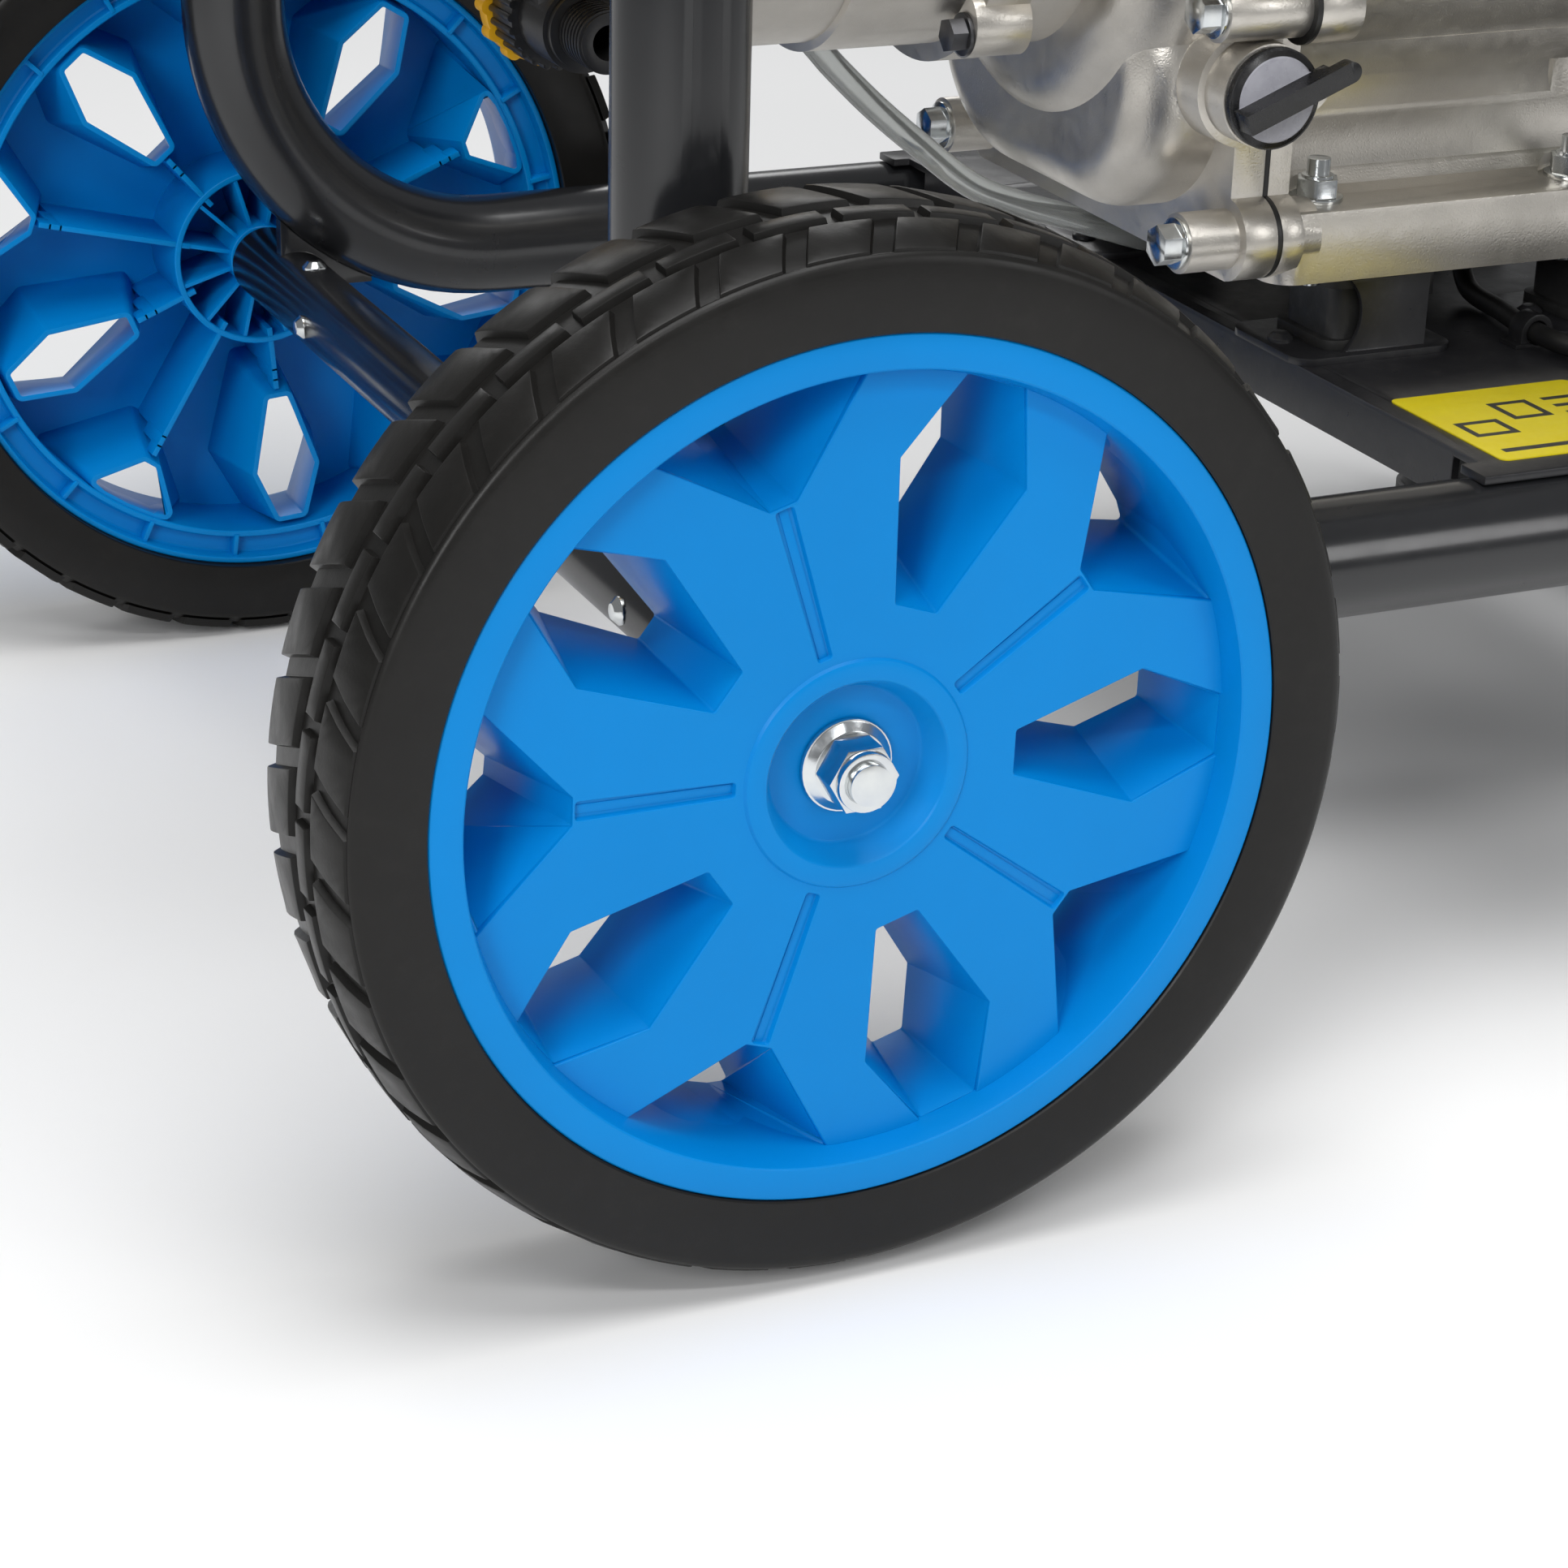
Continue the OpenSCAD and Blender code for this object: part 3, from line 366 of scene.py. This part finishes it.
class Build:
    def __init__(self, far):
        self.bm = bmesh.new()
        self.far = far

    def v(self, x, y, z):
        return self.bm.verts.new(place((x, y, z), self.far))

    def face(self, vs, smooth=True):
        try:
            f = self.bm.faces.new(vs)
            f.smooth = smooth
        except ValueError:
            pass

    def rings(self, rings, close=True, cap=False):
        """rings: lists of local points, all the same length, joined one to the next."""
        made = [[self.v(*p) for p in r] for r in rings]
        n = len(made[0])
        for a, b in zip(made, made[1:]):
            for i in range(n if close else n - 1):
                j = (i + 1) % n
                self.face((a[i], a[j], b[j], b[i]))
        if cap:
            self.face(made[0])
            self.face(list(reversed(made[-1])))
        return made

    def lathe(self, profile, segments=180, closed=True):
        prof = list(profile) + ([profile[0]] if closed else [])
        made = []
        for s in range(segments):
            c, sn = math.cos(2 * math.pi * s / segments), math.sin(2 * math.pi * s / segments)
            made.append([self.v(r * c, r * sn, z) for r, z in profile])
        m = len(profile)
        for s in range(segments):
            a, b = made[s], made[(s + 1) % segments]
            for i in range(m if closed else m - 1):
                j = (i + 1) % m
                self.face((a[i], a[j], b[j], b[i]))

    def slab(self, a, b, width, z0, z1, taper=0.0):
        """A straight rib from a to b in the plane, between two depths."""
        d = Vector((b[0] - a[0], b[1] - a[1]))
        nrm = Vector((-d.y, d.x)).normalized()
        rings = []
        for z, w in ((z0, width), (z1, width - taper)):
            h = nrm * (w / 2)
            rings.append([(a[0] - h.x, a[1] - h.y, z), (b[0] - h.x, b[1] - h.y, z), (b[0] + h.x, b[1] + h.y, z), (a[0] + h.x, a[1] + h.y, z)])
        self.rings(rings, cap=True)

    def done(self, name, material, body, replaced, bevel=0.0004, segments=2, angle=32, split=38):
        bmesh.ops.remove_doubles(self.bm, verts=self.bm.verts, dist=2e-6)
        bmesh.ops.recalc_face_normals(self.bm, faces=self.bm.faces)
        me = bpy.data.meshes.new(name)
        self.bm.to_mesh(me)
        self.bm.free()
        me.materials.append(material)
        o = bpy.data.objects.new(name, me)
        bpy.context.scene.collection.objects.link(o)
        if bevel:
            b = o.modifiers.new("bevel", "BEVEL")
            b.width = bevel
            b.segments = segments
            b.limit_method = "ANGLE"
            b.angle_limit = rad(angle)
        s = o.modifiers.new("split", "EDGE_SPLIT")
        s.split_angle = rad(split)
        s.use_edge_sharp = False
        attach(o, body)
        if replaced:
            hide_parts(replaced)
        return o


POCKET_F = [(48.2, -6.5), (86.7, -20.0), (112.6, -8.8), (112.6, 8.8), (86.7, 20.0), (48.2, 6.5)]
POCKET_R = [(58.0, -4.0), (88.0, -12.0), (108.0, -5.0), (108.0, 5.0), (88.0, 12.0), (58.0, 4.0)]
GAP_F = [(82.4, -4.0), (108.6, -32.2), (112.9, -20), (113.9, 0), (112.9, 20), (108.6, 32.2), (82.4, 4.0)]
GAP_R = [(93.0, -2.5), (108.6, -17.2), (110.4, -11), (111.0, 0), (110.4, 11), (108.6, 17.2), (93.0, 2.5)]
FACE = 8.0


def rim(name, far, phase, body, replaced):
    w = Build(far)
    # barrel: the lip band, the sloping inner wall, and the channel at the back
    w.lathe([(115.2, 0.45), (115.75, 0.0), (124.5, 0.0), (125.0, 0.45), (125.0, 49.5), (124.5, 50.0), (123.0, 50.0), (122.6, 49.6), (122.2, 43.6), (121.4, 42.9),
             (116.2, 42.4), (115.3, 42.9), (114.9, 46.6), (114.5, 47.0), (112.9, 47.0), (112.4, 46.6), (112.6, 30.0), (113.0, 9.0)], 200)
    for k in range(20):
        a = 18 * k + phase + 6
        w.slab(rot((113.8, 0), a), rot((123.4, 0), a), 2.2, 42.0, 47.6, 0.5)
    # plate with ten arms
    outline = []
    for i in range(5):
        b = phase + 72 * i
        for ang in (-19.6, -17, -14, -11, -8, -4.6):
            outline.append((rot((113.6, 0), b + ang), 0.0))
        for p in POCKET_F[1::-1]:
            outline.append((rot(p, b), 0.9))
        for p in POCKET_F[:3:-1]:
            outline.append((rot(p, b), 0.9))
        for ang in (4.6, 8, 11, 14, 17):
            outline.append((rot((113.6, 0), b + ang), 0.0))
        g = b + 36
        outline.append((rot((113.6, 0), b + 19.6), 0.0))
        outline.append((rot(GAP_F[0], g), 0.9))
        outline.append((rot(GAP_F[-1], g), 0.9))
    flat = fillet([p for p, _ in outline], [r for _, r in outline])
    inner = offset(flat, -0.5)
    top = [(x, y, FACE) for x, y in inner]
    edge1 = [(x, y, FACE + 0.12) for x, y in offset(flat, -0.2)]
    edge2 = [(x, y, FACE + 0.5) for x, y in flat]
    low = [(x, y, FACE + 2.6) for x, y in flat]
    made = w.rings([top, edge1, edge2, low])
    upper, lower = [made[0]], [made[-1]]

    def circle(r, z):
        return [(r * math.cos(2 * math.pi * k / 96), r * math.sin(2 * math.pi * k / 96), z) for k in range(96)]
    upper.append([w.v(*p) for p in circle(29.5, FACE)])
    lower.append([w.v(*p) for p in circle(31.0, FACE + 2.6)])
    for i in range(5):
        a = phase + 72 * i + 36
        shape = fillet([rot(p, a) for p in ((36.2, -1.7), (81.1, -2.3), (81.1, 2.3), (36.2, 1.7))], 0.6, 3)
        grown = offset(shape, 0.75)
        slot = w.rings([[(x, y, FACE) for x, y in grown], [(x, y, FACE + 0.14) for x, y in offset(shape, 0.5)], [(x, y, FACE + 1.5) for x, y in offset(shape, 0.12)], [(x, y, FACE + 1.7) for x, y in shape]])
        upper.append(slot[0])
        w.face(slot[-1])
    for loops in (upper, lower):
        edges = []
        for loop in loops:
            for j in range(len(loop)):
                p, q = loop[j - 1], loop[j]
                edges.append(w.bm.edges.get((p, q)) or w.bm.edges.new((p, q)))
        bmesh.ops.triangle_fill(w.bm, use_beauty=True, use_dissolve=False, edges=edges)
    # drafted walls round every pocket and gap
    for i in range(5):
        for turn, front, rear, depth in ((phase + 72 * i, POCKET_F, POCKET_R, 46.0), (phase + 72 * i + 36, GAP_F, GAP_R, 46.0)):
            f = fillet([rot(p, turn) for p in front], 1.1)
            r = fillet([rot(p, turn) for p in rear], 1.1)
            fo, ro = offset(f, 2.2), offset(r, 2.0)

            def lerp(t, inner_side=True):
                A, B = (f, r) if inner_side else (fo, ro)
                return [(a[0] + (b[0] - a[0]) * t, a[1] + (b[1] - a[1]) * t, FACE + 0.5 + (depth - FACE - 0.5) * t) for a, b in zip(A, B)]

            start = [(x, y, FACE + 0.9) for x, y, _ in lerp(0.0)]
            rings = [start, lerp(0.5), lerp(1.0), [(x, y, z) for x, y, z in lerp(1.0, False)], lerp(0.5, False), [(x, y, FACE + 2.0) for x, y, _ in lerp(0.0, False)], start]
            w.rings(rings)
    # ribs from the hub ring to the walls, seen from the back
    for i in range(5):
        for turn, steps in ((phase + 72 * i, (30, 47.0, 51.2, 54.6)), (phase + 72 * i + 36, (30, 81.2, 85.4, 89.4))):
            for (r0, r1), z0 in zip(zip(steps, steps[1:]), (FACE + 1.5, 26.0, 38.0)):
                w.slab(rot((r0 - 0.8, 0), turn), rot((r1, 0), turn), 2.6, z0, 45.5, 0.6)
    # hub: raised ring, recess, boss
    w.lathe([(6.15, 16.2), (6.5, 16.0), (22.6, 16.0), (23.6, 15.3), (26.7, 7.6), (27.4, 7.0), (31.4, 6.9), (32.8, 7.2), (33.9, 8.5), (34.6, 9.4), (34.8, 45.4),
             (34.4, 45.8), (32.8, 45.8), (32.4, 45.4), (32.2, 19.6), (31.6, 19.0), (13.6, 19.0), (13.1, 19.5), (12.7, 46.6), (12.3, 47.0), (6.6, 47.0), (6.15, 46.6)], 120)
    for k in range(12):
        a = phase + 18 + 30 * k
        w.slab(rot((12.0, 0), a), rot((33.2, 0), a), 2.0, 17.6, 45.0, 0.5)
    return w.done(name, mats["wheel_blue"], body, replaced, bevel=0.00035, segments=2, angle=34, split=40)


rim("rim_near_look", False, -1, "wheel_near", "rim_near")
rim("rim_far_look", True, 59, "wheel_far", "rim_far")


def crown(z):
    """Radius of the tread's outer surface at depth z."""
    table = [(-1.0, 146.2), (0.0, 147.1), (3, 148.3), (8, 150.0), (15, 151.6), (19, 152.1), (27, 152.42), (36, 152.42), (46, 152.1), (52, 151.5), (54.5, 150.7), (56, 149.5)]
    if z <= table[0][0]:
        return table[0][1]
    for (a, ra), (b, rb) in zip(table, table[1:]):
        if z <= b:
            return ra + (rb - ra) * (z - a) / (b - a)
    return table[-1][1]



def hose(name, points, radius, mat, replaced, steps):
    """A hose or cable as one smooth open spline through the route's points, in the CAD's own millimetres."""
    def at(a, b, c, d, t):
        return tuple(0.5 * (2 * b[i] + (c[i] - a[i]) * t + (2 * a[i] - 5 * b[i] + 4 * c[i] - d[i]) * t * t + (3 * b[i] - a[i] - 3 * c[i] + d[i]) * t ** 3) for i in range(3))
    path = []
    for i in range(len(points) - 1):
        for j in range(steps):
            path.append(at(points[max(i - 1, 0)], points[i], points[i + 1], points[min(i + 2, len(points) - 1)], j / steps))
    path.append(tuple(points[-1]))
    path = [(x / 1000 - OX, y / 1000, z / 1000 + AZ) for x, y, z in path]
    c = bpy.data.curves.new(name, "CURVE")
    c.dimensions = "3D"
    s = c.splines.new("POLY")
    s.points.add(len(path) - 1)
    for p, q in zip(s.points, path):
        p.co = (*q, 1)
    c.bevel_depth = radius
    c.bevel_resolution = 6
    c.use_fill_caps = True
    o = bpy.data.objects.new(name, c)
    bpy.context.scene.collection.objects.link(o)
    c.materials.append(mat)
    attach(o, "frame")
    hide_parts(replaced)
    return o


hose("detergent_tube_look", [(84, 56, 158), (92, 54, 150), (108, 48, 140), (130, 40, 125), (144, 40, 111), (160, 40, 96), (177, 40, 82), (199, 40, 65.5), (220, 41, 56.5),
                             (238, 39, 51), (254, 37, 46), (272, 33, 41), (292, 30, 38), (320, 28, 37.3), (346, 28, 37.3), (368, 29, 40), (384, 30, 41)],
     0.0048, mats["clear_tube"], "detergent_tube", 6)
hose("throttle_cable_look", [(357, -31, 60.4), (358, -36, 48), (354, -50, 37.5), (350, -76, 37), (346, -100, 37), (348, -124, 37), (362, -146, 37), (384, -150, 38), (404, -144, 46),
                             (414, -134, 66), (416, -125, 88), (414, -118, 108), (412, -110.3, 128.6)],
     0.0036, mats["cable_black"], "throttle_cable", 8)

LUGS = 38
PITCH = 360 / LUGS


def tyre(name, far, body, replaced, start=108.1):
    w = Build(far)
    deep = 2.1
    base = [(125.15, -0.35), (125.6, -0.8), (131, -1.55), (138, -1.9), (143.2, -1.75), (145.2, -1.35), (146.15, -0.75), (146.55, 0.0), (146.45, 0.8), (145.7, 1.3),
            (145.6, 2.2)]
    for z in (4, 8, 12, 16, 20, 24, 28, 32, 36, 40, 44, 48, 51):
        base.append((crown(z) - deep, z))
    base += [(146.6, 54.0), (146.4, 55.0), (145.6, 55.6), (143.8, 56.0), (138, 56.1), (131, 55.6), (125.6, 54.2), (125.15, 53.6)]
    w.lathe(base, 228)

    def block(poly, inset=0.0, root=0.7):
        """poly: (angle offset in degrees, depth) corners. It stands from under the groove floor to the crown with slightly drafted sides."""
        dense = []
        n = len(poly)
        for i in range(n):
            a, b = poly[i], poly[(i + 1) % n]
            steps = max(1, int(max(abs(b[0] - a[0]) / 1.3, abs(b[1] - a[1]) / 3.2)))
            for k in range(steps):
                t = k / steps
                dense.append((a[0] + (b[0] - a[0]) * t, a[1] + (b[1] - a[1]) * t))
        mm = [(p[0] * 2.65, p[1]) for p in dense]
        area = sum(mm[i - 1][0] * mm[i][1] - mm[i][0] * mm[i - 1][1] for i in range(len(mm)))
        side = 1 if area > 0 else -1

        def ring(grow, drop):
            pts = offset(mm, side * grow)
            out = []
            for x, z in pts:
                a = rad(x / 2.65)
                r = crown(z) - drop
                out.append((r * math.cos(a), r * math.sin(a), z))
            return out
        top_edge = ring(-0.45, 0.0)
        rings = [ring(root, deep + 0.8), ring(0.0, 0.5), ring(-0.12, 0.14), top_edge]
        made = w.rings(rings)
        # the top is filled across so that it follows the crown
        f = w.bm.faces.new(made[-1]); f.smooth = True
        f.normal_update()
        tops.append(f)

    tops = []
    for i in range(LUGS):
        d = start + PITCH * i
        block([(d + 0.15, 15.2), (d + 7.0, 15.2), (d + 7.0 + 2.9, 0.6), (d + 0.15 + 2.9, 0.6)])
        block([(d - 5.0, 18.8), (d + 2.7, 18.8), (d + 2.7, 25.4), (d - 5.0, 25.4)], root=0.5)
        block([(d + 0.0, 31.2), (d + 7.1, 31.2), (d + 7.1 + 3.1, 54.2), (d + 3.1, 54.2)])
    bmesh.ops.triangulate(w.bm, faces=tops)
    return w.done(name, mats["tyre_rubber"], body, replaced, bevel=0, split=30)


tyre("tyre_near_look", False, "wheel_near", "tyre_near")
tyre("tyre_far_look", True, "wheel_far", "tyre_far", 110.0)


# ---------------------------------------------------------------- floor, light, camera
def stage_material():
    n = Net("floor_pale")
    n.link(n.mix(n.band(n.noise(1.5, 2, 0.5), 0.3, 0.7, 0, 1), (0.93, 0.93, 0.93), (0.95, 0.95, 0.95)), n.b.inputs["Base Color"])
    n.b.inputs["Roughness"].default_value = 0.85
    n.b.inputs["Specular IOR Level"].default_value = 0.1
    return n.m


me = bpy.data.meshes.new("floor")
R = 14.0
me.from_pydata([(-R, -R, 0), (R, -R, 0), (R, R, 0), (-R, R, 0)], [], [(0, 1, 2, 3)])
me.materials.append(stage_material())
floor = bpy.data.objects.new("floor", me)
floor.location = (0, 0, -0.0005)
bpy.context.scene.collection.objects.link(floor)

world = bpy.data.worlds.new("studio")
world.use_nodes = True
bg = world.node_tree.nodes["Background"]
bg.inputs[0].default_value = (0.97, 0.985, 1.0, 1)
bg.inputs[1].default_value = 0.23
bpy.context.scene.world = world


def area(name, loc, target, size, power, size_y=None, colour=(1, 1, 1)):
    l = bpy.data.lights.new(name, "AREA")
    l.shape = "RECTANGLE"
    l.size = size
    l.size_y = size_y or size
    l.energy = power
    l.color = colour
    o = bpy.data.objects.new(name, l)
    o.location = loc
    d = Vector(target) - Vector(loc)
    o.rotation_euler = d.to_track_quat("-Z", "Y").to_euler()
    bpy.context.scene.collection.objects.link(o)
    return o


area("key_top", (-0.2, -0.5, 2.4), (0, -0.1, 0.2), 1.7, 40, 1.6)
area("front_left", (-2.3, -2.2, 1.5), (-0.1, -0.2, 0.2), 1.0, 34, 1.2)
area("front_right", (1.7, -2.6, 1.4), (0, -0.2, 0.2), 0.8, 13, 1.2)
area("back_rim", (0.4, 2.6, 1.6), (0, 0, 0.3), 2.0, 14, 0.8)
area("streak", (-0.5, -1.7, 1.7), (0, -0.1, 0.2), 1.7, 9, 0.12)
bpy.context.scene.view_settings.view_transform = "Standard"

cam = bpy.data.cameras.new("camera")
cam.sensor_width = 36
cam.lens = 85.816
cam.clip_start = 0.05
co = bpy.data.objects.new("camera", cam)
a, e, r = rad(-24.95), rad(23.39), rad(1.75)
back = Vector((math.sin(a) * math.cos(e), -math.cos(a) * math.cos(e), math.sin(e)))
right = Vector((math.cos(a), math.sin(a), 0))
up = back.cross(right)
r2 = math.cos(r) * right + math.sin(r) * up
u2 = -math.sin(r) * right + math.cos(r) * up
m = Matrix((r2, u2, back)).transposed().to_4x4()
m.translation = Vector((-0.60309, -1.12446, 0.54996))
co.matrix_world = m
bpy.context.scene.collection.objects.link(co)
bpy.context.scene.camera = co
